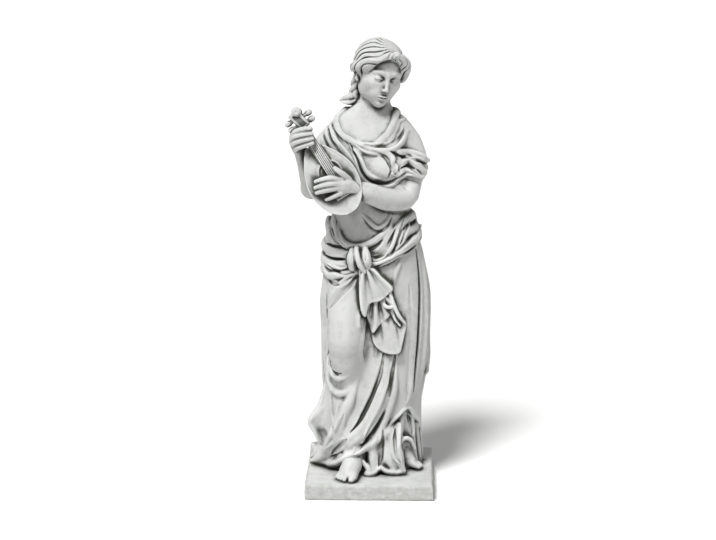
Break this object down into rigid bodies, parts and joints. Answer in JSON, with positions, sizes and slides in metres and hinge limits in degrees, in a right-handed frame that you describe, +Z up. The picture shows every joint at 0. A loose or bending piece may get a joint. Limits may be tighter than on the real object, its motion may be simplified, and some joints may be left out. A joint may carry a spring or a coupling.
{
  "type": "garden statue",
  "caption": "Draped standing muse plucking a lute, cast in stone in one piece with its square plinth.",
  "frame": {"origin": "middle of the plinth's square underside", "axes": "+Z up, the figure faces -Y, +X to the right of someone looking at its face"},
  "size_m": [0.3847, 0.34, 1.1984],
  "materials": {
    "cast_stone": "matte, fine grain, darker in the crevices"
  },
  "bodies": {
    "root": {"muse_statue": "cast_stone"}
  },
  "joints": []
}
